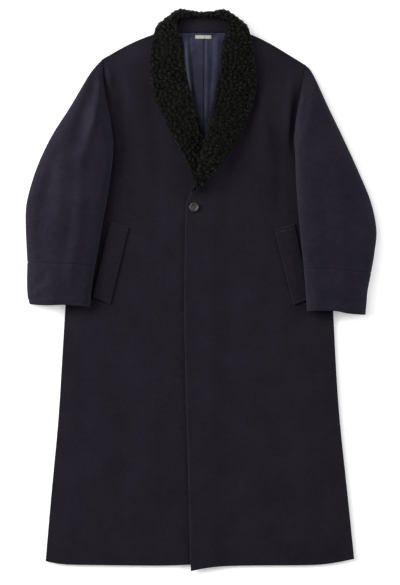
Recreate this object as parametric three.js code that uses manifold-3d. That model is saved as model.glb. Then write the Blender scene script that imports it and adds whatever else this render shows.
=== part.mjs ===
// A long wool overcoat with a fur shawl collar, one button and two welt pockets, laid flat on its back.
// Millimetres. +Z is up, +Y points from the hem to the collar, +X to the wearer's left.
// The origin is on the surface that the coat lies on, at the middle of the coat's box.
import * as THREE from "three";
import { mergeVertices } from "three/addons/utils/BufferGeometryUtils.js";
import Module from "manifold-3d";

const wasm = await Module();
wasm.setup();

// Driving dimensions
const CLOTH = 2.4; // heavy felted wool coating
const LINING = 1.0;
const SEAM_GAP = 0.3;
const REST_GAP = 0.8; // between a soft piece and what it lies on
const PUFF = 2.2; // how far the fronts stand off the back inside the seams
const PUFF_RAMP = 40;
const FOLD_RAMP = 15; // distance from a seam over which a fold comes up
const PILE_BACK_LIFT = 10.9; // the back neck lies on the folded fur collar
const CENTRE_X = 2; // centre back
const LAP_EDGE_X = 12; // free edge of the front that lies underneath
const SLEEVE_RISE = 11; // height that the sleeve's top wall gains in its rolled edge
const SLEEVE_CROWN = 9;
const SLEEVE_ROLL = 26; // width of the rolled edge
const SLEEVE_LIP = 4.6; // half height of the rolled edge
const BUTTON_RADIUS = 10.5;
const BUTTON_THICK = 3.6;
const BUTTON_AT = [-16.5, 190.5];
const WELT_THICK = 2.6;

// Plan curves, each a list of [x, y]
const SIDE_RIGHT = [[-357, -621], [-344, -470], [-328, -298], [-318, -140], [-310, -10], [-300, 130], [-280, 272]];
const SIDE_LEFT = [[351, -616], [336, -470], [318, -298], [309, -170], [303, -50], [295, 90], [276, 272]];
const ARMPIT_RIGHT = [[-280, 272], [-240, 281], [-212, 306], [-202, 344]];
const ARMPIT_LEFT = [[276, 272], [246, 281], [222, 306], [213, 344]];
const ARMHOLE_RIGHT = [[-202, 344], [-211, 406], [-222, 461], [-228, 530]];
const ARMHOLE_LEFT = [[213, 344], [220, 406], [230, 461], [241, 516]];
const SHOULDER_RIGHT = [[-228, 530], [-170, 562], [-112, 585], [-92, 588], [-58, 588]];
const SHOULDER_LEFT = [[62, 588], [96, 588], [118, 584], [168, 560], [241, 516]];
const BACK_NECK = [[-228, 530], [-170, 562], [-112, 585], [-58, 590], [62, 590], [118, 584], [168, 560], [241, 516]];
const BACK_HEM = [[-357, -621], [-200, -624], [0, -625], [200, -622], [351, -616]];
const HEM_RIGHT = [[-357, -621], [-315, -628], [-223, -630], [-95, -631], [-25, -629], [LAP_EDGE_X, -627]];
const HEM_LEFT = [[-24, -643], [30, -634], [104, -631], [242, -630], [297, -626], [351, -616]];
const EDGE_RIGHT = [[LAP_EDGE_X, -627], [LAP_EDGE_X, -200], [LAP_EDGE_X, 220], [8, 300], [0, 352], [-16, 405],
  [-32, 471], [-45, 528], [-50, 562], [-58, 588]];
const EDGE_LEFT = [[-24, -643], [-32, -325], [-38, -107], [-38, 47], [-35, 187], [-29, 212], [-16, 242], [-3, 280],
  [6, 318], [18, 364], [34, 443], [47, 505], [53, 562], [62, 588]];

const SLEEVES = {
  right: {
    outer: [[-228, 530], [-255, 498], [-299, 424], [-345, 351], [-379, 277], [-400, 204], [-403, 150], [-399, 65]],
    outerCuff: [[-399, 65], [-400, 20], [-398, -15], [-393, -32]],
    inner: [[-202, 344], [-203, 300], [-214, 217], [-225, 157], [-236, 91], [-243, 55]],
    innerCuff: [[-243, 55], [-250, 10], [-254, -38]],
    hem: [[-393, -32], [-350, -34], [-312, -33], [-254, -38]],
    armhole: ARMHOLE_RIGHT,
    side: -1,
  },
  left: {
    outer: [[241, 516], [256, 498], [290, 424], [325, 351], [359, 277], [389, 204], [402, 140], [398, 90], [390, 41]],
    outerCuff: [[390, 41], [382, 0], [379, -33], [377, -56]],
    inner: [[213, 344], [215, 316], [218, 236], [226, 137], [232, 77], [235, 49]],
    innerCuff: [[235, 49], [239, 0], [242, -47]],
    hem: [[377, -56], [338, -53], [303, -47], [242, -47]],
    armhole: ARMHOLE_LEFT,
    side: 1,
  },
};

// Collar stations from the centre back to the front tip.
// inner: edge towards the neck, outer: edge or fold seen from above, wrap: length of collar folded round behind,
// pile: thickness of skin and fur
const COLLAR_RIGHT = [
  { inner: [1.8, 624], outer: [1.8, 637], wrap: 88, pile: 9.6 },
  { inner: [-26, 624], outer: [-26, 641], wrap: 88, pile: 9.6 },
  { inner: [-48, 621], outer: [-52, 644], wrap: 86, pile: 9.6 },
  { inner: [-54, 611], outer: [-79, 626], wrap: 70, pile: 9.8 },
  { inner: [-54, 601], outer: [-98, 610], wrap: 40, pile: 10 },
  { inner: [-51, 586], outer: [-110, 592], wrap: 0, pile: 10.5 },
  { inner: [-45, 562], outer: [-118, 555], wrap: 0, pile: 11 },
  { inner: [-41, 528], outer: [-122, 505], wrap: 0, pile: 12 },
  { inner: [-28, 471], outer: [-112, 443], wrap: 0, pile: 12 },
  { inner: [-12, 405], outer: [-85, 385], wrap: 0, pile: 12 },
  { inner: [4, 352], outer: [-58, 333], wrap: 0, pile: 11 },
  { inner: [5, 320], outer: [-41, 304], wrap: 0, pile: 9 },
  { inner: [0, 285], outer: [-27, 276], wrap: 0, pile: 7 },
  { inner: [-9, 254], outer: [-18, 250], wrap: 0, pile: 5 },
];
const COLLAR_LEFT = [
  { inner: [2.2, 624], outer: [2.2, 637], wrap: 88, pile: 9.6 },
  { inner: [28, 624], outer: [28, 640], wrap: 88, pile: 9.6 },
  { inner: [52, 621], outer: [55, 643], wrap: 86, pile: 9.6 },
  { inner: [58, 611], outer: [81, 627], wrap: 70, pile: 9.8 },
  { inner: [58, 601], outer: [101, 611], wrap: 40, pile: 10 },
  { inner: [55, 586], outer: [114, 592], wrap: 0, pile: 10.5 },
  { inner: [48, 562], outer: [121, 555], wrap: 0, pile: 11 },
  { inner: [42, 505], outer: [129, 488], wrap: 0, pile: 12 },
  { inner: [29, 443], outer: [122, 423], wrap: 0, pile: 12 },
  { inner: [13, 364], outer: [87, 342], wrap: 0, pile: 12 },
  { inner: [1, 318], outer: [58, 298], wrap: 0, pile: 12 },
  { inner: [-8, 275], outer: [29, 264], wrap: 0, pile: 11 },
  { inner: [-17, 242], outer: [2, 237], wrap: 0, pile: 9 },
  { inner: [-23, 226], outer: [-18, 224], wrap: 0, pile: 7 },
];

const WELTS = {
  right: [[-250, -16], [-208, -32], [-166, 144], [-208, 155]], // lower outer, lower inner, upper inner, upper outer
  left: [[212, -34], [250, -20], [214, 153], [168, 139]],
};

// The largest folds: height above (or below) the cloth round it, half width, path
const FRONT_FOLDS = [
  { height: 4.0, width: 10, path: [[-217, 518], [-210, 484], [-205, 455], [-198, 415]] },
  { height: -2.0, width: 15, path: [[-192, 508], [-187, 440], [-188, 385], [-180, 300], [-168, 220]] },
  { height: 3.2, width: 20, path: [[-164, 505], [-156, 438], [-146, 380], [-126, 290], [-120, 230]] },
  { height: 4.4, width: 12, path: [[210, 500], [202, 455], [199, 405], [201, 350], [206, 300]] },
  { height: -2.0, width: 14, path: [[158, 450], [165, 381], [178, 310], [180, 208], [176, 150]] },
  { height: 2.8, width: 18, path: [[150, 500], [144, 430], [146, 360], [150, 270]] },
  { height: 2.0, width: 34, path: [[-215, -170], [-232, -380], [-250, -600]] },
  { height: 1.8, width: 34, path: [[-100, -120], [-116, -380], [-128, -600]] },
  { height: 2.0, width: 34, path: [[110, -60], [124, -330], [140, -600]] },
  { height: 2.0, width: 32, path: [[225, -180], [240, -400], [262, -600]] },
];
const SLEEVE_FOLDS = [
  { height: 7.5, width: 12, path: [[-231, 510], [-233, 484], [-235, 438], [-247, 385], [-259, 346], [-272, 300], [-276, 240]] },
  { height: -3.6, width: 13, path: [[-241, 506], [-248, 480], [-261, 440], [-275, 390], [-288, 345]] },
  { height: 2.6, width: 17, path: [[-298, 385], [-318, 325], [-328, 260]] },
  { height: -2.2, width: 16, path: [[-338, 310], [-352, 240], [-360, 150]] },
  { height: 4.6, width: 14, path: [[-275, 265], [-277, 208], [-283, 120], [-297, 50], [-306, 0]] },
  { height: 3.2, width: 22, path: [[240, 480], [232, 420], [230, 350], [236, 280], [244, 190]] },
  { height: -1.4, width: 14, path: [[270, 440], [282, 385], [296, 340]] },
  { height: -1.8, width: 26, path: [[290, 310], [302, 210], [306, 110]] },
  { height: 1.8, width: 18, path: [[342, 300], [366, 215], [372, 130], [364, 40]] },
];
const LINING_FOLDS = [
  { height: 1.8, width: 9, path: [[14, 575], [13, 480], [11, 360]] },
  { height: -0.2, width: 6, path: [[4, 575], [4, 480], [5, 360]] },
  { height: 1.4, width: 10, path: [[-30, 580], [-24, 500], [-14, 430]] },
];

// Curves and distances
const smooth = (t) => {
  const c = Math.min(Math.max(t, 0), 1);
  return c * c * (3 - 2 * c);
};
const mix = (a, b, t) => a + (b - a) * t;
const spread = (parts) => Array.from({ length: parts + 1 }, (_, i) => i / parts);
const between = (from, to, parts) => spread(parts).map((t) => mix(from, to, t));
const curve = (points) => {
  const spline = new THREE.SplineCurve(points.map(([x, y]) => new THREE.Vector2(x, y)));
  return (t) => spline.getPointAt(Math.min(Math.max(t, 0), 1)).toArray();
};
const line = (points, parts = 60) => {
  const at = curve(points);
  return Array.from({ length: parts + 1 }, (_, i) => at(i / parts));
};

// Several curves end to end as one boundary; breaks says where each ends, from 0 to 1
const chain = (lists, breaks) => {
  const curves = lists.map(curve);
  return (t) => {
    const i = Math.max(breaks.findIndex((b) => t <= b + 1e-9), 0);
    const from = i ? breaks[i - 1] : 0;
    return curves[i]((t - from) / (breaks[i] - from));
  };
};

// Nearest point of a polyline: its distance and how far along it is, from 0 to 1
function nearest(x, y, points) {
  let best = { distance: Infinity, along: 0 };
  points.slice(1).forEach(([bx, by], i) => {
    const [ax, ay] = points[i];
    const share = ((x - ax) * (bx - ax) + (y - ay) * (by - ay)) / ((bx - ax) ** 2 + (by - ay) ** 2);
    const t = Math.min(Math.max(share, 0), 1);
    const distance = Math.hypot(x - mix(ax, bx, t), y - mix(ay, by, t));
    if (distance < best.distance) best = { distance, along: (i + t) / (points.length - 1) };
  });
  return best;
}

function inside(x, y, points) {
  let odd = false;
  points.forEach(([ax, ay], i) => {
    const [bx, by] = points[(i + 1) % points.length];
    if (ay > y !== by > y && x < ax + ((y - ay) * (bx - ax)) / (by - ay)) odd = !odd;
  });
  return odd;
}

// A surface patch between four boundary curves, u across and v along
function patch({ bottom, top, left, right }) {
  const [c00, c10, c01, c11] = [bottom(0), bottom(1), top(0), top(1)];
  return (u, v) =>
    [0, 1].map(
      (k) =>
        mix(bottom(u)[k], top(u)[k], v) + mix(left(v)[k], right(v)[k], u)
        - mix(mix(c00[k], c10[k], u), mix(c01[k], c11[k], u), v),
    );
}

// Heights
const FADE = 0.3;
const foldHeight = (folds, x, y) =>
  folds.reduce((sum, fold) => {
    const { distance, along } = nearest(x, y, fold.path);
    const fade = smooth(along / FADE) * smooth((1 - along) / FADE);
    return sum + fold.height * Math.exp(-((distance / fold.width) ** 2)) * mix(0.15, 1, fade);
  }, 0);

const SEAM_LINES = {
  right: [...line(SIDE_RIGHT), ...line(ARMPIT_RIGHT), ...line(ARMHOLE_RIGHT), ...line(SHOULDER_RIGHT.slice(0, 3))],
  left: [...line(SIDE_LEFT), ...line(ARMPIT_LEFT), ...line(ARMHOLE_LEFT), ...line(SHOULDER_LEFT.slice(2)).reverse()],
};
const HEM_LINES = { right: line(HEM_RIGHT), left: line(HEM_LEFT) };
const sideOf = (x) => (x < CENTRE_X ? "right" : "left");

const neckShare = (x, y) => smooth((y - 450) / 112) * (1 - smooth((Math.abs(x - CENTRE_X) - 104) / 96));
const backLift = (x, y) => PILE_BACK_LIFT * neckShare(x, y);

// The highest point of a surface within reach, for a stiffer piece that lies on it
const ROUND = between(0, 2 * Math.PI, 8).slice(1);
const highest = (top, reach) => (x, y) =>
  Math.max(top(x, y), ...ROUND.map((a) => top(x + reach * Math.cos(a), y + reach * Math.sin(a))));

// Lower face of the fronts: level with the seams at the outline, puffed inside it, over the lining at the neck
const liningPad = (x, y) => 1.7 * (1 - smooth((Math.abs(x - CENTRE_X) - 74) / 30)) * smooth((y - 130) / 40);
function frontUnder(x, y) {
  const side = sideOf(x);
  const fromSeam = nearest(x, y, SEAM_LINES[side]).distance;
  const hem = mix(0.45, 1, smooth(nearest(x, y, HEM_LINES[side]).distance / PUFF_RAMP));
  const puff = PUFF * smooth(fromSeam / PUFF_RAMP) * hem;
  const folds = foldHeight(FRONT_FOLDS, x, y) * smooth(fromSeam / FOLD_RAMP);
  const slack = 0.9 * Math.sin(Math.PI * neckShare(x, y));
  return backLift(x, y) + CLOTH + SEAM_GAP + slack + liningPad(x, y) + Math.max(puff + folds, 0);
}

// The wearer's left front laps over the right one, and over the tip of the right collar
const lapLift = (x, y) => (CLOTH + 0.7) * (1 - smooth((x - LAP_EDGE_X - 6) / 50)) * (1 - smooth((y - 380) / 80));
const collarLapLift = (x, y) => {
  const roll = nearest(x, y, EDGE_LEFT.slice(5)).distance;
  return 10.5 * smooth((y - 205) / 45) * (1 - smooth((y - 352) / 60)) * (1 - smooth((roll - 12) / 60));
};
const leftUnder = (x, y) => frontUnder(x, y) + lapLift(x, y) + collarLapLift(x, y);
const bodyTop = (x, y) => (x > CENTRE_X ? leftUnder(x, y) : frontUnder(x, y)) + CLOTH;

const weltCentre = { right: [[-187, 149], [-229, -24]], left: [[191, 146], [231, -27]] };
const weltLift = (x, y) =>
  (WELT_THICK + 0.5) * (1 - smooth((nearest(x, y, weltCentre[sideOf(x)]).distance - 28) / 30));

// What a sleeve lies on: the surface outside the body, and the front inside it
const COVERED = {
  right: [...line(SIDE_RIGHT), ...line(ARMPIT_RIGHT), [-100, 344], [-100, -621]],
  left: [...line(SIDE_LEFT), ...line(ARMPIT_LEFT), [100, 344], [100, -616]],
};
const CLIMB_START = 78;
const CLIMB_END = 18;
function restHeight(side, x, y) {
  const away = inside(x, y, COVERED[side]) ? 0 : nearest(x, y, COVERED[side]).distance;
  const weight = 1 - smooth((away - CLIMB_END) / (CLIMB_START - CLIMB_END));
  return weight && weight * (bodyTop(x, y) + weltLift(x, y) + REST_GAP);
}

// Meshes
// outer and inner are grids of points [x, y, z]; wrap closes each row on itself
function shell(outer, inner, wrap = false) {
  const rows = outer.length;
  const columns = outer[0].length;
  const size = rows * columns;
  const faces = [];
  const quad = (a, b, c, d) => faces.push(a, b, c, a, c, d);
  const last = wrap ? columns : columns - 1;
  const index = (i, j) => i * columns + (j % columns);
  for (let i = 0; i < rows - 1; i++)
    for (let j = 0; j < last; j++) {
      quad(index(i, j), index(i, j + 1), index(i + 1, j + 1), index(i + 1, j));
      quad(size + index(i, j), size + index(i + 1, j), size + index(i + 1, j + 1), size + index(i, j + 1));
    }
  for (let j = 0; j < last; j++) {
    quad(index(0, j), size + index(0, j), size + index(0, j + 1), index(0, j + 1));
    const i = rows - 1;
    quad(index(i, j), index(i, j + 1), size + index(i, j + 1), size + index(i, j));
  }
  if (!wrap)
    for (let i = 0; i < rows - 1; i++) {
      const j = columns - 1;
      quad(index(i, 0), index(i + 1, 0), size + index(i + 1, 0), size + index(i, 0));
      quad(index(i, j), size + index(i, j), size + index(i + 1, j), index(i + 1, j));
    }
  return closed([...outer.flat(), ...inner.flat()], faces);
}

function closed(points, faces) {
  let volume = 0;
  for (let k = 0; k < faces.length; k += 3) {
    const [a, b, c] = [0, 1, 2].map((n) => new THREE.Vector3(...points[faces[k + n]]));
    volume += a.dot(b.cross(c));
  }
  if (volume < 0) faces.reverse();
  const geometry = new THREE.BufferGeometry();
  geometry.setAttribute("position", new THREE.Float32BufferAttribute(points.flat(), 3));
  geometry.setIndex(faces);
  return geometry;
}

// A flat-lying panel: a patch with a lower face and a thickness
function panel(at, us, vs, under, thick) {
  const plan = vs.map((v) => us.map((u) => at(u, v)));
  const lower = plan.map((row) => row.map(([x, y]) => [x, y, under(x, y)]));
  const upper = lower.map((row) => row.map(([x, y, z]) => [x, y, z + thick]));
  return shell(upper, lower);
}

// Body
const SIDE_END = 0.74;
const ARMPIT_END = 0.84;
const BODY_BREAKS = [SIDE_END, ARMPIT_END, 1];
const ARMHOLE_STEPS = [0, 0.03, 0.06, 0.12, 0.22, 0.38, 0.55, 0.72, 0.86, 0.93, 0.97, 1];
const BODY_ROWS = [
  0, 0.012, 0.03, 0.06, ...between(0.11, SIDE_END, 12), ...between(SIDE_END, ARMPIT_END, 3).slice(1),
  ...ARMHOLE_STEPS.slice(1).map((t) => mix(ARMPIT_END, 1, t)),
];
const sideRight = chain([SIDE_RIGHT, ARMPIT_RIGHT, ARMHOLE_RIGHT], BODY_BREAKS);
const sideLeft = chain([SIDE_LEFT, ARMPIT_LEFT, ARMHOLE_LEFT], BODY_BREAKS);

function back() {
  const at = patch({ bottom: curve(BACK_HEM), top: curve(BACK_NECK), left: sideRight, right: sideLeft });
  const rows = BODY_ROWS.filter((v, i) => v > SIDE_END - 0.01 || i % 2 === 0);
  return panel(at, spread(26), rows, backLift, CLOTH);
}

function frontRight() {
  const at = patch({
    bottom: curve(HEM_RIGHT), top: curve(SHOULDER_RIGHT), left: sideRight, right: curve(EDGE_RIGHT),
  });
  return panel(at, [0, 0.02, 0.05, 0.1, ...between(0.18, 1, 9)], BODY_ROWS, frontUnder, CLOTH);
}

function frontLeft() {
  const at = patch({
    bottom: curve(HEM_LEFT), top: curve(SHOULDER_LEFT), left: curve(EDGE_LEFT), right: sideLeft,
  });
  return panel(at, [...between(0, 0.82, 9), 0.9, 0.95, 0.98, 1], BODY_ROWS, leftUnder, CLOTH);
}

// Lining and neck
const liningUnder = (x, y) =>
  backLift(x, y) + CLOTH + SEAM_GAP + 0.25 + 0.6 * Math.sin(Math.PI * neckShare(x, y));
const liningTop = (x, y) => {
  const open = 1 - smooth((Math.abs(x - CENTRE_X) - 34) / 12);
  return liningUnder(x, y) + LINING + Math.max(foldHeight(LINING_FOLDS, x, y), -0.2) * open;
};

function liningBack() {
  const at = (u, v) => [mix(-66, 70, u), mix(165, 589.4, v)];
  const plan = spread(20).map((v) => spread(14).map((u) => at(u, v)));
  const lower = plan.map((row) => row.map(([x, y]) => [x, y, liningUnder(x, y)]));
  const upper = lower.map((row) => row.map(([x, y]) => [x, y, liningTop(x, y)]));
  return shell(upper, lower);
}

function collarStand() {
  const at = (u, v) => [mix(mix(-60, -46, v), mix(64, 52, v), u), mix(590.8, 626, v)];
  return panel(at, spread(12), spread(3), (x, y) => backLift(x, y) + CLOTH + SEAM_GAP, CLOTH);
}

function label() {
  const at = (u, v) => [mix(-14, 23, u), mix(576, 584, v)];
  return panel(at, spread(4), spread(1), (x, y) => highest(liningTop, 6)(x, y) + SEAM_GAP, 0.8);
}

// A narrow strip sewn down at both ends just under the stand
function hangerLoop() {
  const at = (u, v) => [mix(-22, 27, u), mix(586, 590, v) - 1.5 * Math.sin(Math.PI * u)];
  const under = (x, y) => {
    const arch = Math.max(Math.sin((Math.PI * (x + 22)) / 49), 0);
    return highest(liningTop, 6)(x, y) + SEAM_GAP + 1.2 * arch;
  };
  return panel(at, spread(8), spread(1), under, 1.4);
}

// Fur collar: each station is a band that lies on the front and, at the neck, folds round behind
const BAND_STEPS = [0, 0.02, 0.07, 0.16, 0.3, 0.42, 0.54, 0.66, 0.78, 0.88, 0.95, 0.985, 1];
function collar(stations, top) {
  const outer = [];
  const inner = [];
  const tidy = stations.flatMap((s, i) => (i ? [blendStation(stations[i - 1], s), s] : [s]));
  tidy.forEach(({ inner: from, outer: to, wrap, pile }) => {
    const width = Math.hypot(to[0] - from[0], to[1] - from[1]);
    const way = [(to[0] - from[0]) / width, (to[1] - from[1]) / width];
    const level = (a) => top(from[0] + way[0] * a, from[1] + way[1] * a) + REST_GAP + pile / 2;
    const topZ = (a) => (wrap ? level(0) : level(a));
    const radius = (topZ(0) - pile / 2) / 2;
    const turn = Math.min(wrap / radius, Math.PI / 2);
    const flat = width - pile * 0.35 - radius * Math.sin(turn);
    const total = flat + wrap;
    const place = (a) => {
      if (a <= flat) return [a, topZ(a)];
      const angle = Math.min((a - flat) / radius, Math.PI);
      const past = Math.max(a - flat - Math.PI * radius, 0);
      return [flat + radius * Math.sin(angle) - past, topZ(flat) - radius * (1 - Math.cos(angle))];
    };
    const rowOuter = [];
    const rowInner = [];
    BAND_STEPS.forEach((share) => {
      const a = share * total;
      const [n, z] = place(a);
      const [n0, z0] = place(Math.max(a - 0.5, 0));
      const [n1, z1] = place(Math.min(a + 0.5, total));
      const length = Math.hypot(n1 - n0, z1 - z0);
      const normal = [-(z1 - z0) / length, (n1 - n0) / length];
      const end = Math.min(a, total - a) / (pile * 0.55);
      const half = (pile / 2) * Math.sqrt(1 - (1 - Math.min(mix(0.08, 1, end), 1)) ** 2);
      const point = (sign) => [
        from[0] + way[0] * (n + normal[0] * half * sign),
        from[1] + way[1] * (n + normal[0] * half * sign),
        z + normal[1] * half * sign,
      ];
      rowOuter.push(point(1));
      rowInner.push(point(-1));
    });
    outer.push(rowOuter);
    inner.push(rowInner);
  });
  return shell(outer, inner);
}

function blendStation(a, b) {
  const half = (p, q) => [mix(p[0], q[0], 0.5), mix(p[1], q[1], 0.5)];
  return {
    inner: half(a.inner, b.inner), outer: half(a.outer, b.outer),
    wrap: mix(a.wrap, b.wrap, 0.5), pile: mix(a.pile, b.pile, 0.5),
  };
}

// Sleeves: flattened tubes. A ring runs over the top from the outer fold to the inner one, then back underneath
const TOP_STEPS = [
  0, 0.008, 0.03, 0.07, 0.14, 0.21, 0.28, 0.36, 0.45, 0.54, 0.62, 0.7, 0.78, 0.83, 0.88, 0.94, 0.97, 0.992, 1,
];
const UNDER_STEPS = [0.992, 0.97, 0.88, 0.78, 0.62, 0.45, 0.28, 0.14, 0.07, 0.03, 0.008];
const UNDER_SEAMS = [TOP_STEPS.length + 3, TOP_STEPS.length + 7];
const CUFF_START = 0.84;
const SLEEVE_ROWS = [0, 0.02, 0.05, 0.1, ...between(0.16, CUFF_START, 11)];
const CUFF_ROWS = between(CUFF_START, 1, 4);

function sleeveRings(sleeve, rows) {
  const { side } = sleeve;
  const name = side < 0 ? "right" : "left";
  const plan = patch({
    bottom: curve([...sleeve.armhole].reverse()),
    top: curve(sleeve.hem),
    left: chain([sleeve.outer, sleeve.outerCuff], [CUFF_START, 1]),
    right: chain([sleeve.inner, sleeve.innerCuff], [CUFF_START, 1]),
  });
  const at = (u, v) => {
    const [x, y] = plan(u, v);
    return [x + side * 2 * SEAM_GAP * (1 - smooth(v / 0.1)), y];
  };
  return rows.map((v) => {
    const [from, to] = [at(0, v), at(1, v)];
    return [...TOP_STEPS, ...UNDER_STEPS].map((u, k) => {
      const [x, y] = at(u, v);
      const edge = Math.min(Math.hypot(x - from[0], y - from[1]), Math.hypot(x - to[0], y - to[1]));
      const middle = at(0.5, v);
      const start = at(0.5, 0);
      const fromArmhole = Math.hypot(middle[0] - start[0], middle[1] - start[1]);
      const grown = mix(0.12, 1, smooth(fromArmhole / 60));
      const lip = mix(CLOTH + 0.15, SLEEVE_LIP, grown);
      const base = restHeight(name, x, y);
      const round = (d, r) => Math.sqrt(1 - (1 - Math.min(d / r, 1)) ** 2);
      if (k >= TOP_STEPS.length) return [x, y, base + lip * (1 - round(edge, lip))];
      const rise = mix(0.5, SLEEVE_RISE, grown) * round(edge, SLEEVE_ROLL);
      const crown = SLEEVE_CROWN * 4 * u * (1 - u) * grown;
      const folds = foldHeight(SLEEVE_FOLDS, x, y) * smooth(fromArmhole / FOLD_RAMP) * smooth(edge / 18);
      return [x, y, base + lip + lip * round(edge, lip) * (1 - grown) + rise + crown + folds];
    });
  });
}

// The same rings moved in by the cloth's thickness, square to the ring
function movedIn(rings, thick) {
  return rings.map((ring) =>
    ring.map((p, k) => {
      const before = ring[(k + ring.length - 1) % ring.length];
      const after = ring[(k + 1) % ring.length];
      const way = new THREE.Vector3(after[0] - before[0], after[1] - before[1], after[2] - before[2]);
      const plan = new THREE.Vector2(ring[TOP_STEPS.length - 1][0] - ring[0][0],
        ring[TOP_STEPS.length - 1][1] - ring[0][1]).normalize();
      const across = way.x * plan.x + way.y * plan.y;
      const length = Math.hypot(across, way.z);
      const [n, z] = [way.z / length, -across / length];
      return [p[0] + plan.x * n * thick, p[1] + plan.y * n * thick, p[2] + z * thick];
    }),
  );
}

function sleevePieces(sleeve) {
  const rings = sleeveRings(sleeve, SLEEVE_ROWS);
  const inner = movedIn(rings, CLOTH);
  const count = rings[0].length;
  const pick = (list, from, to) =>
    list.map((ring) => Array.from({ length: to - from + 1 }, (_, k) => ring[(from + k) % count]));
  const [first, last] = UNDER_SEAMS;
  // the under sleeve stops a seam's gap short of the top sleeve on each side
  const trim = (grid) =>
    grid.map((row) => {
      const out = row.map((p) => [...p]);
      const end = out.length - 1;
      const nudge = (k, m) => [0, 1, 2].forEach((c) => {
        out[k][c] += (row[m][c] - row[k][c]) * 0.03;
      });
      nudge(0, 1);
      nudge(end, end - 1);
      return out;
    });
  return {
    top: shell(pick(rings, last, first + count), pick(inner, last, first + count)),
    under: shell(trim(pick(rings, first, last)), trim(pick(inner, first, last))),
  };
}

function cuff(sleeve) {
  const rings = sleeveRings(sleeve, CUFF_ROWS.map((v, i) => (i ? v : v + 0.001)));
  return shell(rings, movedIn(rings, CLOTH), true);
}

// Pocket welts: a strip made from the front's own points, moved out
function welt(corners, top) {
  const [a, b, c, d] = corners;
  const at = (u, v) => [0, 1].map((k) => mix(mix(a[k], b[k], u), mix(d[k], c[k], u), v));
  return panel(at, spread(3), spread(9), (x, y) => top(x, y) + SEAM_GAP + 0.15, WELT_THICK);
}

// Button: a turned disc with a rim and four holes
function button() {
  const r = BUTTON_RADIUS;
  const t = BUTTON_THICK;
  const outline = [[0, 0], [r - 1.4, 0], [r, 1.3], [r, t - 0.9], [r - 1, t], [r - 2.4, t], [r - 3.4, t - 0.9], [0, t - 1]];
  const disc = solid(new THREE.LatheGeometry(outline.map(([x, y]) => new THREE.Vector2(x, y)), 32).rotateX(Math.PI / 2));
  const drilled = [45, 135, 225, 315].reduce((body, degrees) => {
    const angle = THREE.MathUtils.degToRad(degrees);
    const drill = new THREE.CylinderGeometry(1, 1, 3 * t, 10).rotateX(Math.PI / 2);
    return body.subtract(solid(drill.translate(2.6 * Math.cos(angle), 2.6 * Math.sin(angle), 0)));
  }, disc);
  return geometryOf(drilled);
}

function solid(geometry) {
  geometry.deleteAttribute("normal");
  geometry.deleteAttribute("uv");
  const merged = mergeVertices(geometry, 1e-4);
  const mesh = new wasm.Mesh({
    numProp: 3,
    vertProperties: merged.attributes.position.array,
    triVerts: new Uint32Array(merged.index.array),
  });
  return new wasm.Manifold(mesh);
}

function geometryOf(manifold) {
  const mesh = manifold.getMesh();
  const geometry = new THREE.BufferGeometry();
  geometry.setAttribute("position", new THREE.Float32BufferAttribute(mesh.vertProperties, 3));
  geometry.setIndex(Array.from(mesh.triVerts));
  return geometry;
}

// Materials
const material = (color, roughness) => new THREE.MeshStandardMaterial({ color, roughness, metalness: 0 });
const wool = material(0x1e1d2a, 0.95);
const satin = material(0x2a2b42, 0.55);
const fur = material(0x0c0c0b, 0.9);
const horn = material(0x5b5450, 0.4);
const tape = material(0xb9b5a4, 0.8);

// Assembly
const coat = new THREE.Group();
function add(name, geometry, finish, position = [0, 0, 0]) {
  const mesh = new THREE.Mesh(geometry, finish);
  mesh.name = name;
  mesh.position.set(...position);
  coat.add(mesh);
}

add("back", back(), wool);
add("front_right", frontRight(), wool);
add("front_left", frontLeft(), wool);
for (const [side, sleeve] of Object.entries(SLEEVES)) {
  const { top, under } = sleevePieces(sleeve);
  add(`sleeve_${side}_top`, top, wool);
  add(`sleeve_${side}_under`, under, wool);
  add(`cuff_${side}`, cuff(sleeve), wool);
}
add("pocket_welt_right", welt(WELTS.right, bodyTop), wool);
add("pocket_welt_left", welt(WELTS.left, bodyTop), wool);
add("lining_back", liningBack(), satin);
add("collar_stand", collarStand(), wool);
add("label", label(), tape);
add("hanger_loop", hangerLoop(), satin);
add("collar_right", collar(COLLAR_RIGHT, highest((x, y) => frontUnder(x, y) + CLOTH, 9)), fur);
add("collar_left", collar(COLLAR_LEFT, highest((x, y) => leftUnder(x, y) + CLOTH, 9)), fur);
const buttonZ = highest(leftUnder, BUTTON_RADIUS)(...BUTTON_AT) + CLOTH + SEAM_GAP + 0.9;
add("button", button(), horn, [...BUTTON_AT, buttonZ]);

export default coat;
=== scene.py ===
# %% [markdown]
# # A long wool overcoat with a fur shawl collar, laid flat on its back
#
# The coat lies on a table, collar towards +Y and hem towards -Y, and the camera looks straight down
# on it. Each cloth piece is a thin shell that follows the same seams and heights as the solid that
# it stands for, on a finer grid and with the smaller creases, edges and stitches added. The frame
# comes first, because it says where every piece has to be.

# %% Load the frame
import math

import bpy
import numpy as np
from mathutils import Matrix, Vector


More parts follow.
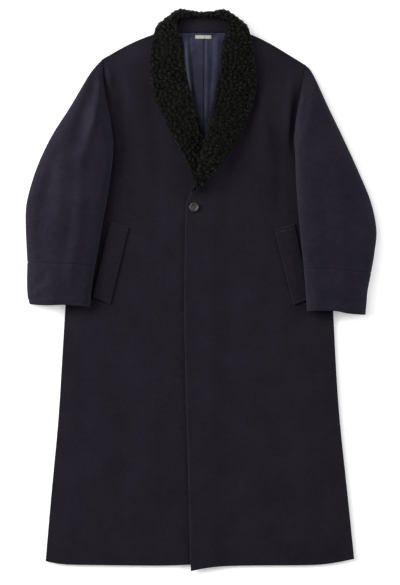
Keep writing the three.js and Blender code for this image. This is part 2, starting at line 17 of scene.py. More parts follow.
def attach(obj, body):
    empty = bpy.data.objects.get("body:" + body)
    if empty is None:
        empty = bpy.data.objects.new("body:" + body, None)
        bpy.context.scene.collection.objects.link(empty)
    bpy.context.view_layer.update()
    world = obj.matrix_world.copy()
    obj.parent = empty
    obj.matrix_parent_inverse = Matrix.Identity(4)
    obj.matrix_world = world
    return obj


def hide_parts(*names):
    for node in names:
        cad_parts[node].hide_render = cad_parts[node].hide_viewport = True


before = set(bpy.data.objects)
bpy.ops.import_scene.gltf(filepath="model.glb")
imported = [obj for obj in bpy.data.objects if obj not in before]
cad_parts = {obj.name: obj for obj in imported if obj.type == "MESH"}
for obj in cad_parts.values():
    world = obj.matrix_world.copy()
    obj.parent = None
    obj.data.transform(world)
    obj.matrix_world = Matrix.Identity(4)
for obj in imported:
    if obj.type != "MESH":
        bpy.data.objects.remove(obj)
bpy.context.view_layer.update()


# %% [markdown]
# ## Measures that a cutter would write down
#
# A tailor thinks in millimetres, so every size here is in millimetres and only the last step turns
# points into metres. The seams are drawn as soft curves through a few marked points, the way a
# curved ruler is laid through pattern marks. Each list holds [x, y] marks, right and left being the
# wearer's.

# %% Cloth sizes and heights
MM = 0.001
SCENE = bpy.context.scene
CLOTH = 2.4
LINING = 1.0
SEAM_GAP = 0.3
SEAM_LAP = 0.8  # the seam allowance closes each seam from below
REST_GAP = 0.8
PUFF, PUFF_RAMP, FOLD_RAMP = 2.2, 40, 15
LINING_PAD, NECK_SLACK = 1.7, 0.9
LAP_LIFT, COLLAR_LIFT = CLOTH + 0.7, 10.5  # the left front over the right one and over its collar
PILE_BACK_LIFT = 10.9  # the fur folded under the back neck
CENTRE_X = 2
LAP_EDGE_X = 12
SLEEVE_RISE, SLEEVE_CROWN, SLEEVE_ROLL, SLEEVE_LIP = 11, 9, 26, 4.6
WELT_THICK = 2.6

# %% Seams of the body
SIDE_RIGHT = [[-357, -621], [-344, -470], [-328, -298], [-318, -140], [-310, -10], [-300, 130],
              [-280, 272]]
SIDE_LEFT = [[351, -616], [336, -470], [318, -298], [309, -170], [303, -50], [295, 90], [276, 272]]
ARMPIT_RIGHT = [[-280, 272], [-240, 281], [-212, 306], [-202, 344]]
ARMPIT_LEFT = [[276, 272], [246, 281], [222, 306], [213, 344]]
ARMHOLE_RIGHT = [[-202, 344], [-211, 406], [-222, 461], [-228, 530]]
ARMHOLE_LEFT = [[213, 344], [220, 406], [230, 461], [241, 516]]
SHOULDER_RIGHT = [[-228, 530], [-170, 562], [-112, 585], [-92, 588], [-58, 588]]
SHOULDER_LEFT = [[62, 588], [96, 588], [118, 584], [168, 560], [241, 516]]
BACK_NECK = [[-228, 530], [-170, 562], [-112, 585], [-58, 590], [62, 590], [118, 584], [168, 560],
             [241, 516]]
BACK_HEM = [[-357, -621], [-200, -624], [0, -625], [200, -622], [351, -616]]
HEM_RIGHT = [[-357, -621], [-315, -628], [-223, -630], [-95, -631], [-25, -629], [LAP_EDGE_X, -627]]
HEM_LEFT = [[-24, -643], [30, -634], [104, -631], [242, -630], [297, -626], [351, -616]]
EDGE_RIGHT = [[LAP_EDGE_X, -627], [LAP_EDGE_X, -200], [LAP_EDGE_X, 220], [8, 300], [0, 352],
              [-16, 405], [-32, 471], [-45, 528], [-50, 562], [-58, 588]]
EDGE_LEFT = [[-24, -643], [-32, -325], [-38, -107], [-38, 47], [-35, 187], [-29, 212], [-16, 242],
             [-3, 280], [6, 318], [18, 364], [34, 443], [47, 505], [53, 562], [62, 588]]

# %% Curves, patches and distances
def smooth(t):
    c = np.clip(t, 0, 1)
    return c * c * (3 - 2 * c)


def mix(a, b, t):
    return a + (b - a) * t


def norm(v):
    return np.linalg.norm(v, axis=-1)


def unit(v):
    return v / np.maximum(np.linalg.norm(v, axis=-1, keepdims=True), 1e-9)


def round_turn(count):
    return np.linspace(0, 2 * np.pi, count, endpoint=False)


def bell(away, width):
    return np.exp(-((away / width) ** 2))


def slices(count, size=3000):
    return [slice(first, first + size) for first in range(0, count, size)]


def curve(marks, shares):
    """Points at even shares of a soft curve through the marks."""
    p = np.asarray(marks, float)
    t = np.linspace(0, len(p) - 1, 40 * (len(p) - 1) + 1)
    i = np.minimum(t.astype(int), len(p) - 2)
    f = (t - i)[:, None]
    a, b = p[i], p[i + 1]
    start = (b - p[np.maximum(i - 1, 0)]) / 2
    end = (p[np.minimum(i + 2, len(p) - 1)] - a) / 2
    fine = (2 * a - 2 * b + start + end) * f**3
    fine = fine + (-3 * a + 3 * b - 2 * start - end) * f**2 + start * f + a
    far = np.concatenate([[0], np.cumsum(norm(np.diff(fine, axis=0)))])
    want = np.clip(shares, 0, 1) * far[-1]
    return np.stack([np.interp(want, far, fine[:, k]) for k in range(p.shape[1])], -1)


def chain(lists, ends, shares):
    """Several curves end to end; ends says at which share each one stops."""
    out = np.zeros((len(shares), 2))
    start = 0.0
    for marks, end in zip(lists, ends):
        here = (shares >= start - 1e-9) & (shares <= end + 1e-9)
        out[here] = curve(marks, (shares[here] - start) / (end - start))
        start = end
    return out


def patch(bottom_marks, top_marks, left, right, us, vs, last=-1):
    """A grid of plan points between four edge curves; last is where us reaches 1."""
    bottom, top = curve(bottom_marks, us), curve(top_marks, us)
    u, v = us[None, :, None], vs[:, None, None]
    corners = mix(mix(bottom[0], bottom[last], u), mix(top[0], top[last], u), v)
    return mix(bottom[None], top[None], v) + mix(left[:, None], right[:, None], u) - corners


def nearest(x, y, marks):
    """Distance to a line of marks, and how far along it the nearest point is, from 0 to 1."""
    marks = np.asarray(marks, float)
    a, step = marks[:-1], np.diff(marks, axis=0)
    size = np.maximum((step**2).sum(1), 1e-9)
    flat_x, flat_y = np.ravel(x).astype(float), np.ravel(y).astype(float)
    best, along = np.zeros(len(flat_x)), np.zeros(len(flat_x))
    for part in slices(len(flat_x)):
        dx = flat_x[part, None] - a[:, 0]
        dy = flat_y[part, None] - a[:, 1]
        t = np.clip((dx * step[:, 0] + dy * step[:, 1]) / size, 0, 1)
        far = (dx - step[:, 0] * t) ** 2 + (dy - step[:, 1] * t) ** 2
        k = far.argmin(1)
        row = np.arange(len(k))
        best[part] = np.sqrt(far[row, k])
        along[part] = (k + t[row, k]) / len(step)
    return best.reshape(np.shape(x)), along.reshape(np.shape(x))


def within(x, y, marks):
    """True where a point lies inside the closed outline."""
    odd = np.zeros(np.shape(x), bool)
    for (ax, ay), (bx, by) in zip(marks, np.roll(marks, -1, axis=0)):
        if ay != by:
            odd ^= ((ay > y) != (by > y)) & (x < ax + (y - ay) * (bx - ax) / (by - ay))
    return odd


EVEN = np.linspace(0, 1, 25)
RIGHT_SEAMS = [SIDE_RIGHT, ARMPIT_RIGHT, ARMHOLE_RIGHT]
LEFT_SEAMS = [SIDE_LEFT, ARMPIT_LEFT, ARMHOLE_LEFT]
SEAMS = {
    "right": np.concatenate([curve(m, EVEN) for m in [*RIGHT_SEAMS, SHOULDER_RIGHT[:3]]]),
    "left": np.concatenate([*(curve(m, EVEN) for m in LEFT_SEAMS),
                            curve(SHOULDER_LEFT[2:], EVEN)[::-1]]),
}
HEMS = {"right": curve(HEM_RIGHT, EVEN), "left": curve(HEM_LEFT, EVEN)}
print("side seams", len(SEAMS["right"]), "and", len(SEAMS["left"]), "points")

# %% [markdown]
# ## Folds
#
# Heavy melton does not crumple: it makes a few long, soft rolls, strongest where the sleeves hang
# from the shoulders. Each fold is a path with a height and a half width, drawn over the coat, and
# its height fades at both ends. The large ones are those of the solids. The small ones after them
# are only here, and no two are quite alike. A cloth simulation would make rolls too, but not in
# these places.

# %% Fold tables
def folds_of(text):
    """One fold a line: height, half width, then the marks x,y of its path."""
    table = []
    for line in text.strip().splitlines():
        height, width, *marks = line.split()
        path = [[float(v) for v in mark.split(",")] for mark in marks]
        table.append((float(height), float(width), path))
    return table


FRONT_FOLDS = folds_of("""
4.0 10 -217,518 -210,484 -205,455 -198,415
-2.0 15 -192,508 -187,440 -188,385 -180,300 -168,220
3.2 20 -164,505 -156,438 -146,380 -126,290 -120,230
4.4 12 210,500 202,455 199,405 201,350 206,300
-2.0 14 158,450 165,381 178,310 180,208 176,150
2.8 18 150,500 144,430 146,360 150,270
2.0 34 -215,-170 -232,-380 -250,-600
1.8 34 -100,-120 -116,-380 -128,-600
2.0 34 110,-60 124,-330 140,-600
2.0 32 225,-180 240,-400 262,-600
""")
SLEEVE_FOLDS = folds_of("""
7.5 12 -231,510 -233,484 -235,438 -247,385 -259,346 -272,300 -276,240
-3.6 13 -241,506 -248,480 -261,440 -275,390 -288,345
2.6 17 -298,385 -318,325 -328,260
-2.2 16 -338,310 -352,240 -360,150
4.6 14 -275,265 -277,208 -283,120 -297,50 -306,0
3.2 22 240,480 232,420 230,350 236,280 244,190
-1.4 14 270,440 282,385 296,340
-1.8 26 290,310 302,210 306,110
1.8 18 342,300 366,215 372,130 364,40
""")
FRONT_CREASES = folds_of("""
1.4 5 -219,518 -213,488 -209,462
-0.8 6 -202,492 -197,450 -192,410
0.9 8 -176,512 -166,450 -162,390
-0.8 11 -120,470 -112,400 -106,330
-0.7 14 -60,230 -70,120 -74,10
0.7 16 -150,60 -158,-60 -160,-200
0.6 18 -60,-180 -66,-330 -70,-520
-0.6 20 -170,-300 -180,-450 -186,-610
0.5 12 -290,-420 -300,-520 -306,-610
-1.6 6 221,462 213,424 211,382
1.5 7 172,512 180,470 188,425
2.2 6 206,486 204,440 204,400 206,360
0.8 12 138,470 128,390 120,300
-0.8 12 110,500 104,430 92,360
-0.6 16 60,120 66,0 70,-120
0.7 15 20,60 24,-120 26,-300
0.6 18 180,20 190,-140 196,-300
-0.6 18 70,-360 78,-480 84,-610
0.6 13 290,-400 300,-500 312,-600
0.6 8 150,-566 210,-580 300,-572
-0.5 7 170,-586 230,-596 290,-588
""")
SLEEVE_CREASES = folds_of("""
3.4 6 -227,505 -229,470 -231,436 -242,392 -254,352
-1.8 7 -240,486 -247,450 -258,414
-1.8 5 -226,504 -225,466 -218,425
1.6 16 -226,420 -232,372 -248,330
-1.2 8 -262,352 -268,320 -262,270
1.0 9 -330,350 -352,290 -366,226
-0.9 10 -306,300 -312,230 -306,170
1.2 8 -266,236 -268,210 -272,180
-1.4 9 -350,50 -366,20 -384,4
1.8 7 -342,16 -364,2 -388,-10
0.9 7 -300,30 -286,0 -284,-30
-0.9 7 -320,-18 -290,-20 -262,-24
1.5 6 -394,-20 -350,-22 -300,-21 -256,-26
4.0 7 239,486 231,430 224,380 221,340
2.4 12 262,500 280,450 300,400 322,350
-0.8 8 256,470 262,430 270,390
0.9 10 300,440 322,380 340,330
-0.9 11 330,230 340,170 344,100
1.3 6 392,130 388,80 380,20
-1.3 5 386,130 381,84 374,30
0.8 9 252,150 262,90 268,40
-0.9 8 300,-8 320,-24 350,-32
1.3 6 244,-36 300,-36 340,-42 376,-45
""")


def fold_height(table, x, y, fade=0.3):
    total = np.zeros(np.shape(x))
    for height, width, marks in table:
        far, along = nearest(x, y, marks)
        ends = smooth(along / fade) * smooth((1 - along) / fade)
        total += height * bell(far, width) * mix(0.15, 1, ends)
    return total


small = FRONT_CREASES + SLEEVE_CREASES
print(len(FRONT_FOLDS + SLEEVE_FOLDS), "large folds and", len(small), "small ones")

# %% [markdown]
# ## Heights of the layers
#
# The coat is a stack: back, lining, right front, left front, then sleeves and collar. Every height
# is worked out from the piece below it, so nothing sinks into its neighbour. The back neck is
# raised, because the folded fur lies beneath it. The fronts meet the back at the seams and stand
# off it a little inside them, and the left front climbs over the right one.

# %% Layer heights
def neck_share(x, y):
    """1 along the back neck, falling to 0 towards the chest and the shoulder ends."""
    return smooth((y - 450) / 112) * (1 - smooth((abs(x - CENTRE_X) - 104) / 96))


def back_lift(x, y):
    return PILE_BACK_LIFT * neck_share(x, y)


def by_side(x, right, left):
    """Values of the wearer's right half and of the left half, joined at the centre."""
    return np.where(x < CENTRE_X, right, left)


def away_from(lines, x, y):
    return by_side(x, *(nearest(x, y, lines[side])[0] for side in ("right", "left")))


def front_under(x, y, creases=True):
    """Lower face of the right front, and of the left one away from the lap."""
    far = away_from(SEAMS, x, y)
    hem = mix(0.45, 1, smooth(away_from(HEMS, x, y) / PUFF_RAMP))
    pad = LINING_PAD * (1 - smooth((abs(x - CENTRE_X) - 74) / 30)) * smooth((y - 40) / 130)
    slack = NECK_SLACK * np.sin(np.pi * neck_share(x, y))
    folds = fold_height(FRONT_FOLDS, x, y)
    if creases:
        folds = folds + fold_height(FRONT_CREASES, x, y)
    rise = np.maximum(PUFF * smooth(far / PUFF_RAMP) * hem + folds * smooth(far / FOLD_RAMP), 0)
    return back_lift(x, y) + CLOTH + SEAM_GAP + slack + pad + rise


LEFT_ROLL = curve(EDGE_LEFT[5:], EVEN)


def left_under(x, y, creases=True):
    """Lower face of the left front, which climbs over the right one and its collar tip."""
    lap = LAP_LIFT * (1 - smooth((x - LAP_EDGE_X - 6) / 50)) * (1 - smooth((y - 380) / 80))
    over_collar = COLLAR_LIFT * smooth((y - 205) / 45) * (1 - smooth((y - 352) / 60))
    over_collar = over_collar * (1 - smooth((nearest(x, y, LEFT_ROLL)[0] - 12) / 60))
    return front_under(x, y, creases) + lap + over_collar


def body_top(x, y, creases=True):
    return by_side(x, front_under(x, y, creases), left_under(x, y, creases)) + CLOTH


def highest(top, x, y, reach):
    """The highest point of a surface within reach, for a stiffer piece that lies on it."""
    dx, dy = (np.append(way(round_turn(8)), 0) * reach for way in (np.cos, np.sin))
    return top(np.asarray(x)[..., None] + dx, np.asarray(y)[..., None] + dy).max(-1)


# %% [markdown]
# ## Shells
#
# Every cloth piece is two grids of points, the upper and the lower face of the cloth, joined round
# the edge. Near the edge the cloth is made thinner by a quarter circle, so the edge is round and
# catches a line of light, as a turned and pressed edge does. A Solidify modifier would do something
# similar, but it can't round the edge or thicken a hem.

# %% Mesh helpers
NARROWEST_SHEET = 0.01


def in_scene(name, data):
    made = bpy.data.objects.new(name, data)
    SCENE.collection.objects.link(made)
    return made


def mesh_of(name, points, faces):
    mesh = bpy.data.meshes.new(name)
    mesh.from_pydata((np.asarray(points, float) * MM).tolist(), [], faces)
    return mesh


def piece_from(name, points, faces, material, node_names, slot):
    mesh = mesh_of(name, points, faces.tolist() if isinstance(faces, np.ndarray) else faces)
    mesh.validate()
    mesh.shade_smooth()
    mesh.materials.append(material)
    made = in_scene(name, mesh)
    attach(made, "root")
    if node_names:
        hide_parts(*node_names)
    triangles = sum(len(p.vertices) - 2 for p in mesh.polygons)
    print(f"{name}: {len(mesh.vertices)} points, {triangles} triangles")
    return made


def grid_faces(rows, columns, wrap=False, start=0):
    i = np.arange(rows - 1)[:, None]
    j = np.arange(columns if wrap else columns - 1)[None, :]
    k = (j + 1) % columns
    quads = [i * columns + j, i * columns + k, (i + 1) * columns + k, (i + 1) * columns + j]
    return np.stack([q.ravel() for q in np.broadcast_arrays(*quads)], -1) + start


def shell_faces(rows, columns, wrap=False):
    """Faces of an upper grid, a lower grid after it, and the strip round their edge."""
    size = rows * columns
    upper = grid_faces(rows, columns, wrap)
    lower = grid_faces(rows, columns, wrap, size)[:, ::-1]
    j = np.arange(columns if wrap else columns - 1)
    k = (j + 1) % columns
    first = np.stack([k, j, size + j, size + k], -1)
    row = (rows - 1) * columns
    last = np.stack([row + j, row + k, size + row + k, size + row + j], -1)
    parts = [upper, lower, first, last]
    if not wrap:
        i = np.arange(rows - 1) * columns
        parts.append(np.stack([i, i + columns, size + i + columns, size + i], -1))
        i = i + columns - 1
        parts.append(np.stack([i + columns, i, size + i, size + i + columns], -1))
    return np.concatenate(parts)


def edge_distance(plan):
    """How far each plan point is from the piece's own outline."""
    outline = np.concatenate([plan[0], plan[:, -1], plan[-1][::-1], plan[::-1, 0]])
    outline = outline[np.concatenate([[True], norm(np.diff(outline, axis=0)) > 1e-6])]
    marks = outline[:: max(len(outline) // 260, 1)]
    return nearest(plan[..., 0], plan[..., 1], np.concatenate([marks, marks[:1]]))[0]


def quarter_round(distance, radius):
    return np.sqrt(np.clip(1 - (1 - np.minimum(distance / radius, 1)) ** 2, 0, 1))


def steps(count, edge=(0.0012, 0.0035, 0.008)):
    """Shares from 0 to 1, with a few close together at both ends for the rounded edges."""
    inner = np.linspace(edge[-1] * 2, 1 - edge[-1] * 2, count)
    return np.concatenate([[0], edge, inner, 1 - np.array(edge[::-1]), [1]])


def both(upper, lower):
    return np.concatenate([upper.reshape(-1, 3), lower.reshape(-1, 3)])


def declare_sheet(grid):
    """States the width, length and area of the cut, measured on the grid of its upper face."""
    p = grid * MM
    across = norm(np.diff(p, axis=1)).sum(1).max()
    along = norm(np.diff(p, axis=0)).sum(0).max()
    if min(across, along) < NARROWEST_SHEET:
        print("  a narrow tape, too small to be a sheet")
        return
    area = norm(np.cross(p[1:, 1:] - p[:-1, :-1], p[1:, :-1] - p[:-1, 1:])).sum() / 2
    wide = max(across, area / along * 1.0005)
    area = min(area, wide * along)
    print(f"  cut from {wide:.3f} by {along:.3f} m, {area:.4f} square metres")


def panel(name, plan, under, thick, material, nodes, slot, round_edge=1.7, extra=None):
    """A piece that lies flat: its plan, its lower face and its thickness."""
    x, y = plan[..., 0], plan[..., 1]
    far = edge_distance(plan)
    middle = under(x, y) + thick / 2
    half = thick / 2 * mix(0.16, 1, quarter_round(far, round_edge))
    rise = 0 if extra is None else extra(x, y)
    upper = np.stack([x, y, middle + half + rise], -1)
    lower = np.stack([x, y, middle - half], -1)
    made = piece_from(name, both(upper, lower), shell_faces(*x.shape), material, nodes, slot)
    declare_sheet(upper)


# %% [markdown]
# ## Finishes
#
# Melton is wool cloth that has been felted until its weave nearly disappears. It is very dark navy
# and quite matt, with a faint bluish bloom where it turns away from the eye. So a little sheen lies
# over two close navy tones in clouds, with a fine fibre bump. Image textures would show the weave
# too, but noise made by nodes stays sharp at any distance.

# %% Node helpers
def shader_of(material):
    return material.node_tree.nodes["Principled BSDF"]


def new_material(name, color, roughness, **sockets):
    material = bpy.data.materials.new(name)
    material.use_nodes = True
    for socket, value in {"Base_Color": (*color, 1), "Roughness": roughness, **sockets}.items():
        shader_of(material).inputs[socket.replace("_", " ")].default_value = value
    return material


def add_node(material, kind, **settings):
    node = material.node_tree.nodes.new(kind)
    for key, value in settings.items():
        if key in node.inputs:
            node.inputs[key].default_value = value
        else:
            setattr(node, key, value)
    return node


def link(material, source, target):
    material.node_tree.links.new(source, target)


def object_metres(material):
    return add_node(material, "ShaderNodeTexCoord").outputs["Object"]


def wave(material, **settings):
    made = add_node(material, "ShaderNodeTexWave", **settings)
    link(material, object_metres(material), made.inputs["Vector"])
    return made.outputs["Fac"]


def noise(material, scale, detail=3.0, rough=0.55, stretch=(1, 1, 1)):
    """Noise over the object's own metres; stretch over 1 makes it finer along that axis."""
    size = add_node(material, "ShaderNodeMapping", Scale=stretch)
    link(material, object_metres(material), size.inputs["Vector"])
    made = add_node(material, "ShaderNodeTexNoise", Scale=scale, Detail=detail, Roughness=rough)
    link(material, size.outputs["Vector"], made.inputs["Vector"])
    return made.outputs["Fac"]


def two_tones(material, fac, dark, light, low=0.35, high=0.65):
    ramp = add_node(material, "ShaderNodeValToRGB")
    for stop, place, tone in zip(ramp.color_ramp.elements, (low, high), (dark, light)):
        stop.position, stop.color = place, (*tone, 1)
    link(material, fac, ramp.inputs["Fac"])
    link(material, ramp.outputs["Color"], shader_of(material).inputs["Base Color"])


def bump(material, height, distance, strength=1.0, before=None):
    node = add_node(material, "ShaderNodeBump", Strength=strength, Distance=distance)
    link(material, height, node.inputs["Height"])
    if before is not None:
        link(material, before.outputs["Normal"], node.inputs["Normal"])
    link(material, node.outputs["Normal"], shader_of(material).inputs["Normal"])
    return node


def blend_values(material, a, b, fac):
    node = add_node(material, "ShaderNodeMix", data_type="FLOAT")
    node.inputs[0].default_value = fac
    link(material, a, node.inputs[2])
    link(material, b, node.inputs[3])
    return node.outputs[0]


# %% Melton wool
def melton(name, dark, light):
    material = new_material(name, light, 0.93, Sheen_Weight=0.3, Sheen_Roughness=0.45,
                            Sheen_Tint=(0.27, 0.262, 0.42, 1), Specular_IOR_Level=0.04)
    clouds = blend_values(material, noise(material, 16, 4), noise(material, 110, 5, 0.75), 0.6)
    fibres = noise(material, 620, 4, 0.7)
    two_tones(material, blend_values(material, clouds, fibres, 0.4), dark, light, 0.4, 0.6)
    weave = noise(material, 900, 2, 0.5, (1.0, 0.45, 1.0))
    first = bump(material, weave, 0.0004, 0.4)
    bump(material, fibres, 0.0005, 0.35, first)
    return material


WOOL = melton("navy melton", (0.0082, 0.0068, 0.0107), (0.0137, 0.0115, 0.0179))
# painted light: the sleeves and cuffs get a lighter copy of the wool, for the light their tops
# catch
SLEEVE_WOOL_PAINTED_LIGHT = melton("navy melton, sleeves painted lighter", (0.0090, 0.0077, 0.0124), (0.0168, 0.0145, 0.0228))
print("wool finishes:", WOOL.name, "and", SLEEVE_WOOL_PAINTED_LIGHT.name)

# %% Lining, tape, horn and thread
def lining_finish():
    material = new_material("navy lining", (0.016, 0.016, 0.034), 0.42, Sheen_Weight=0.1,
                            Sheen_Tint=(0.4, 0.42, 0.8, 1), Specular_IOR_Level=0.12)
    two_tones(material, noise(material, 60, 3), (0.0235, 0.0235, 0.043), (0.034, 0.035, 0.064))
    twill = wave(material, Scale=420.0, Distortion=0.6, Detail=1.0, bands_direction="DIAGONAL")
    bump(material, twill, 0.0002, 0.35)
    return material


def tape_finish():
    material = new_material("cream tape", (0.42, 0.4, 0.33), 0.8, Sheen_Weight=0.2)
    yarn = noise(material, 700, 2, 0.5, (0.3, 1, 1))
    two_tones(material, yarn, (0.34, 0.328, 0.275), (0.5, 0.482, 0.405))
    bump(material, wave(material, Scale=700.0, Distortion=0.3, bands_direction="Y"), 0.0002, 0.5)
    return material


def horn_finish():
    material = new_material("dark horn", (0.03, 0.026, 0.023), 0.36, Coat_Weight=0.1,
                            Coat_Roughness=0.2, Specular_IOR_Level=0.4)
    streaks = noise(material, 260, 5, 0.6, (1, 0.25, 1))
    two_tones(material, streaks, (0.018, 0.015, 0.0135), (0.05, 0.043, 0.038), 0.3, 0.7)
    bump(material, noise(material, 800, 2), 0.0001, 0.2)
    return material


def thread_finish(name, dark, light):
    material = new_material(name, light, 0.6, Sheen_Weight=0.3)
    two_tones(material, noise(material, 2400, 2), dark, light)
    bump(material, noise(material, 3000, 2), 0.0001, 0.5)
    return material


SATIN, TAPE, HORN = lining_finish(), tape_finish(), horn_finish()
NAVY_THREAD = thread_finish("navy thread", (0.0045, 0.004, 0.007), (0.0095, 0.0085, 0.0145))
CREAM_THREAD = thread_finish("cream thread", (0.36, 0.34, 0.28), (0.5, 0.48, 0.4))
print("finishes:", ", ".join(m.name for m in (SATIN, TAPE, HORN, NAVY_THREAD, CREAM_THREAD)))

# %% [markdown]
# ## Body
#
# The back is one large panel that rests flat on the table. The two fronts lie on it, and the left
# one laps over the right one. Their free edges hide a facing, so the edge is a little thicker than
# the rest, and a line where the facing ends presses through very softly.

# %% Back
SIDE_END, ARMPIT_END = 0.74, 0.84
UNDERARM_TUCK, STAND_TUCK = 7, 8
ENDS = (SIDE_END, ARMPIT_END, 1)
BODY_ROWS = np.concatenate([
    [0, 0.0008, 0.002, 0.004], np.linspace(0.009, SIDE_END, 132),
    np.linspace(SIDE_END, ARMPIT_END, 14)[1:], np.linspace(ARMPIT_END, 0.998, 34)[1:], [0.999, 1]])


def side_edges(rows):
    """Both side seams; below the arm they reach a little under the sleeve, so no gap shows."""
    right, left = chain(RIGHT_SEAMS, ENDS, rows), chain(LEFT_SEAMS, ENDS, rows)
    for edge, way in ((right, -1), (left, 1)):
        edge[:, 0] += way * UNDERARM_TUCK * (1 - smooth(abs(edge[:, 1] - 350) / 55))
    return right, left


rows = BODY_ROWS[::2]
across = steps(74)
right_edge, left_edge = side_edges(rows)
plan = patch(BACK_HEM, BACK_NECK, right_edge, left_edge, across, rows)
under_stand = smooth((rows - 0.96) / 0.04)[:, None] * (1 - smooth((abs(plan[..., 0]) - 70) / 30))
plan[..., 1] += STAND_TUCK * under_stand
panel("coat_back", plan, back_lift, CLOTH, WOOL, ["back"], "wool")

# %% Fronts
def edge_roll(marks, width=9, height=0.9):
    """A free edge with its facing turned inside: a low roll next to the edge, and a faint step."""
    line = curve(marks, np.linspace(0, 1, 200))

    def rise(x, y):
        free = nearest(x, y, line)[0]
        roll = height * bell(free - 4, width) * quarter_round(free, 3)
        return roll + 0.3 * (1 - smooth((free - 66) / 10))

    return rise


right_edge, left_edge = side_edges(BODY_ROWS)
across = steps(60)
LEFT_ROLL_OUT = edge_roll(EDGE_LEFT)
plan = patch(HEM_RIGHT, SHOULDER_RIGHT, right_edge, curve(EDGE_RIGHT, BODY_ROWS), across, BODY_ROWS)
panel("front_right_shell", plan, front_under, CLOTH, WOOL, ["front_right"], "wool",
      extra=edge_roll(EDGE_RIGHT, 8, 0.4))
plan = patch(HEM_LEFT, SHOULDER_LEFT, curve(EDGE_LEFT, BODY_ROWS), left_edge, across, BODY_ROWS)
panel("front_left_shell", plan, left_under, CLOTH, WOOL, ["front_left"], "wool",
      extra=LEFT_ROLL_OUT)

# %% [markdown]
# ## Sleeves and cuffs
#
# Each sleeve is a flattened tube that runs outwards from the armhole. Its inner half lies on the
# front and its outer half on the table. The rings run round it from the outer fold over the top to
# the inner fold and back below. The cuff band is a separate strip with its own seam, and the cloth
# dips a little into that seam from both sides.

# %% Sleeve marks
CUFF_START = 0.84
SLEEVE_LONG = 585.0  # turns shares of a sleeve's length into millimetres
OVER_COUNT, UNDER_COUNT = 46, 30  # points of a ring over the top and underneath
# the outer and the inner fold each have one curve down to the cuff seam and one below it
SLEEVES = {
    "right": dict(
        outer=[[[-228, 530], [-255, 498], [-299, 424], [-345, 351], [-379, 277], [-400, 204],
                [-403, 150], [-399, 65]], [[-399, 65], [-400, 20], [-398, -15], [-393, -32]]],
        inner=[[[-202, 344], [-203, 300], [-214, 217], [-225, 157], [-236, 91], [-243, 55]],
               [[-243, 55], [-250, 10], [-254, -38]]],
        hem=[[-393, -32], [-350, -34], [-312, -33], [-254, -38]],
        armhole=ARMHOLE_RIGHT, side=-1),
    "left": dict(
        outer=[[[241, 516], [256, 498], [290, 424], [325, 351], [359, 277], [389, 204], [402, 140],
                [398, 90], [390, 41]], [[390, 41], [382, 0], [379, -33], [377, -56]]],
        inner=[[[213, 344], [215, 316], [218, 236], [226, 137], [232, 77], [235, 49]],
               [[235, 49], [239, 0], [242, -47]]],
        hem=[[377, -56], [338, -53], [303, -47], [242, -47]],
        armhole=ARMHOLE_LEFT, side=1),
}
WELTS = {
    "right": [[-250, -16], [-208, -32], [-166, 144], [-208, 155]],
    "left": [[212, -34], [250, -20], [214, 153], [168, 139]],
}
COVERED = {
    side: np.concatenate([*(curve(m, EVEN) for m in seams[:2]), [[x, 344], [x, low]]])
    for side, seams, x, low in (("right", RIGHT_SEAMS, -100, -621), ("left", LEFT_SEAMS, 100, -616))
}
WELT_LINES = {"right": [[-187, 149], [-229, -24]], "left": [[191, 146], [231, -27]]}

# %% What a sleeve lies on
def rest_height(side, x, y):
    """Height of the body and the welt under a sleeve, falling to the table beside them."""
    inside = within(x, y, COVERED[side])
    away = np.where(inside, 0, nearest(x, y, COVERED[side])[0])
    weight = 1 - smooth((away - 18) / 60)
    lift = (WELT_THICK + 0.5) * (1 - smooth((nearest(x, y, WELT_LINES[side])[0] - 28) / 30))
    return weight * (body_top(x, y, False) + lift + REST_GAP)


def sleeve_rings(side, rows):
    """Rings of a sleeve: first the points over the top, then those underneath."""
    s = SLEEVES[side]
    over = (1 - np.cos(np.linspace(0, np.pi, OVER_COUNT))) / 2
    below = ((1 + np.cos(np.linspace(0, np.pi, UNDER_COUNT + 2))) / 2)[1:-1]
    us = np.concatenate([over, below])
    ends = (CUFF_START, 1)
    plan = patch(s["armhole"][::-1], s["hem"], chain(s["outer"], ends, rows),
                 chain(s["inner"], ends, rows), us, rows, OVER_COUNT - 1)
    x = plan[..., 0] - s["side"] * SEAM_LAP * (1 - smooth(rows / 0.1))[:, None]
    y = plan[..., 1]
    edge = np.minimum(*(norm(plan - plan[:, k:k + 1]) for k in (0, OVER_COUNT - 1)))
    start = curve(s["armhole"][::-1], np.array([0.5]))[0]
    from_armhole = norm(plan[:, np.abs(over - 0.5).argmin()] - start)[:, None]
    grown = mix(0.12, 1, smooth(from_armhole / 60))
    lip = mix(CLOTH + 0.15, SLEEVE_LIP, grown)
    base = rest_height(side, x, y)
    below_z = base + lip * (1 - quarter_round(edge, lip))
    rise = mix(0.5, SLEEVE_RISE, grown) * quarter_round(edge, SLEEVE_ROLL)
    crown = SLEEVE_CROWN * 4 * us * (1 - us) * grown
    folds = fold_height(SLEEVE_FOLDS, x, y) + fold_height(SLEEVE_CREASES, x, y)
    folds = folds * smooth(from_armhole / FOLD_RAMP) * smooth(edge / 18)
    over_z = base + lip + lip * quarter_round(edge, lip) * (1 - grown) + rise + crown + folds
    return np.stack([x, y, np.where(np.arange(len(us)) < OVER_COUNT, over_z, below_z)], -1)


def moved_in(rings, depth):
    """The same rings moved inwards, square to the ring; depth may differ from row to row."""
    way = np.roll(rings, -1, axis=1) - np.roll(rings, 1, axis=1)
    across = unit(rings[:, OVER_COUNT - 1, :2] - rings[:, 0, :2])
    flat = (way[..., :2] * across[:, None]).sum(-1)
    length = np.maximum(np.hypot(flat, way[..., 2]), 1e-9)
    n, z = way[..., 2] / length, -flat / length
    out = rings.copy()
    out[..., :2] += across[:, None] * (n * depth)[..., None]
    out[..., 2] += z * depth
    return out


